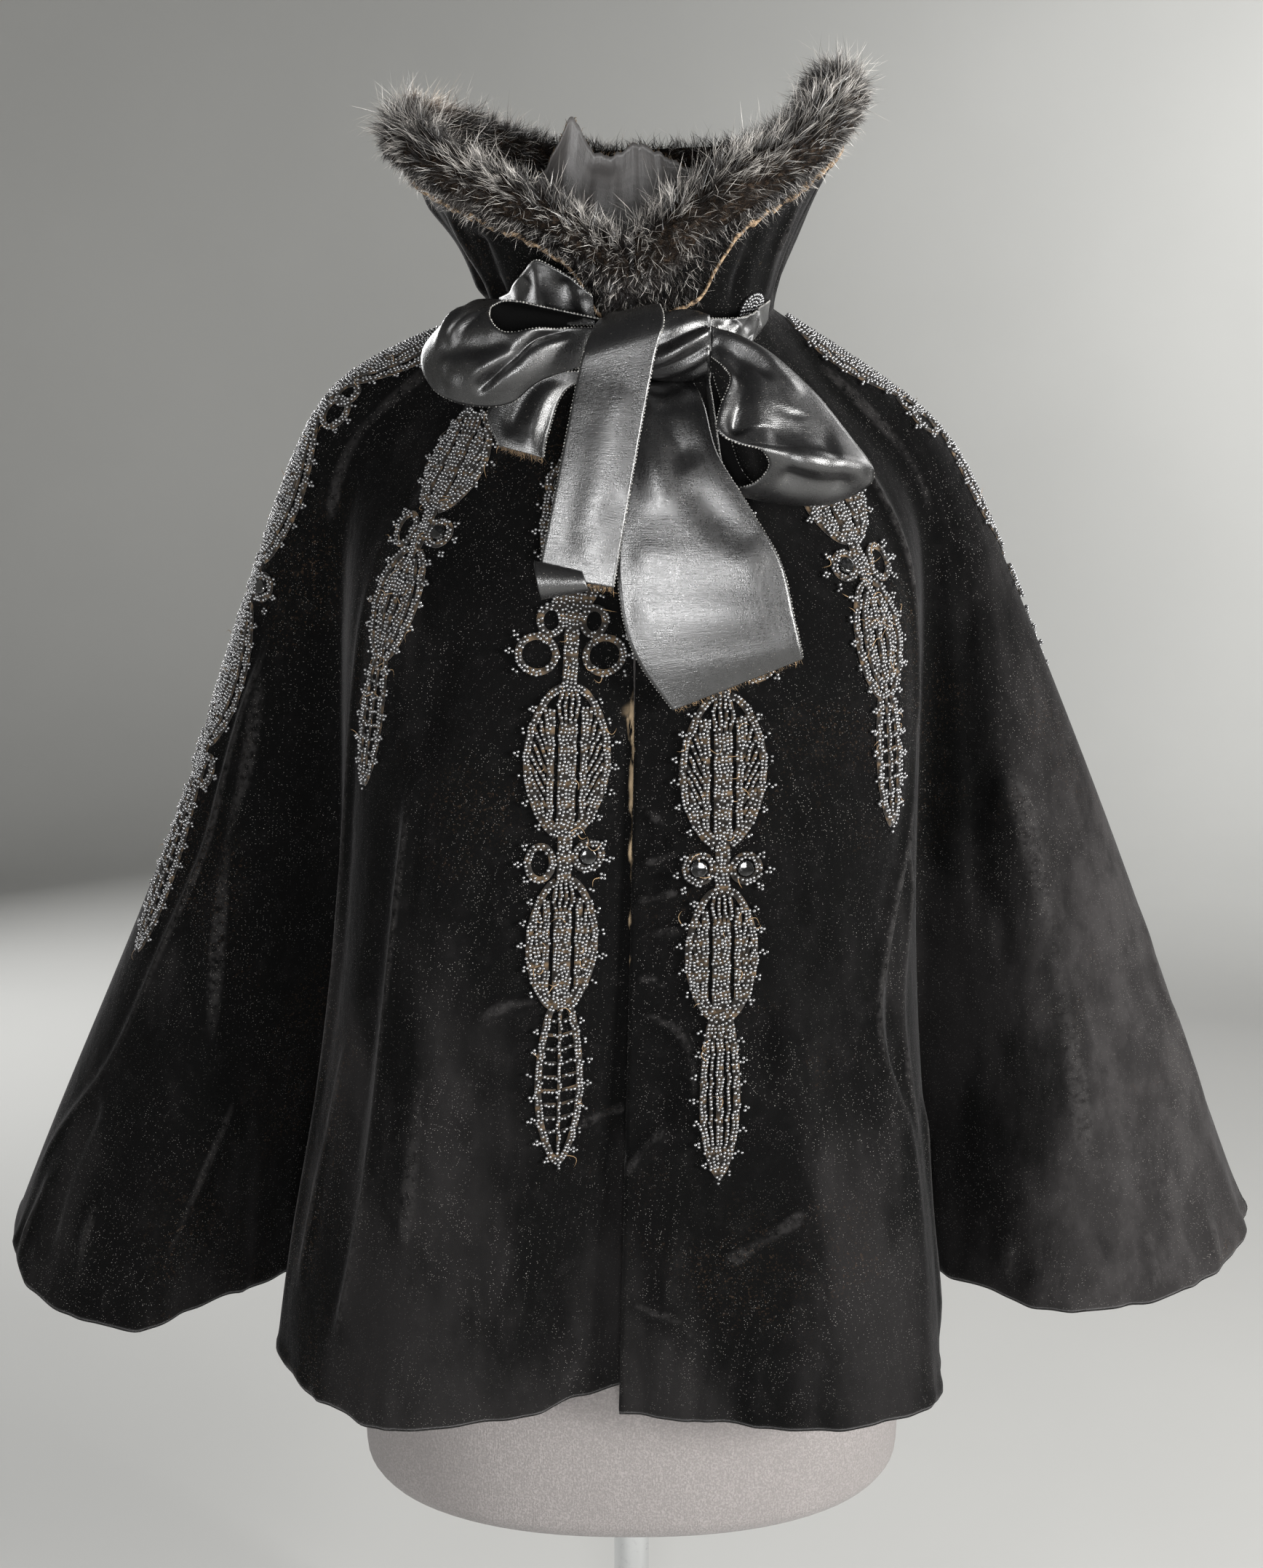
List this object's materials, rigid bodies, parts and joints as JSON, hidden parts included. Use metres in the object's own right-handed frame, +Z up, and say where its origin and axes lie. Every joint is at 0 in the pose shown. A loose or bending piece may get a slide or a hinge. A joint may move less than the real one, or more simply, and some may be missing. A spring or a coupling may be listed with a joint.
{
  "type": "velvet cape with fur collar on a dress form",
  "caption": "Short flared velvet cape with a fur-edged stand collar, a satin ribbon bow and beaded drops, shown on a limbless dress form that stands on a round base.",
  "frame": {"origin": "on the floor, under the middle of the stand's round base", "axes": "+Z up, -Y towards the front of the cape, +X towards the wearer's left"},
  "size_m": [0.8732, 0.3986, 1.2002],
  "materials": {
    "velvet": "black silk pile with a soft sheen at its folds and brown wear at its edges",
    "satin": "black satin, smooth and softly glossy",
    "fur": "dark grey-brown fur with pale tips",
    "jet_beads": "polished jet-black beads",
    "form_jersey": "fine grey-brown knit",
    "stand_chrome": "polished plating"
  },
  "bodies": {
    "root": {"form_body": "form_jersey", "form_pole": "stand_chrome", "form_base": "stand_chrome", "front_right": "velvet", "front_left": "velvet", "back": "velvet", "collar": "velvet", "fur_trim": "fur", "collar_lining": "satin", "ribbon_right": "satin", "ribbon_left": "satin", "bow_knot": "satin", "bow_loop_right": "satin", "bow_loop_left": "satin", "tail_front": "satin", "tail_long": "satin", "tail_short": "satin", "drop_centre_right": "jet_beads", "drop_centre_left": "jet_beads", "drop_side_right": "jet_beads", "drop_side_left": "jet_beads", "drop_shoulder_right": "jet_beads", "drop_shoulder_left": "jet_beads"}
  },
  "joints": []
}
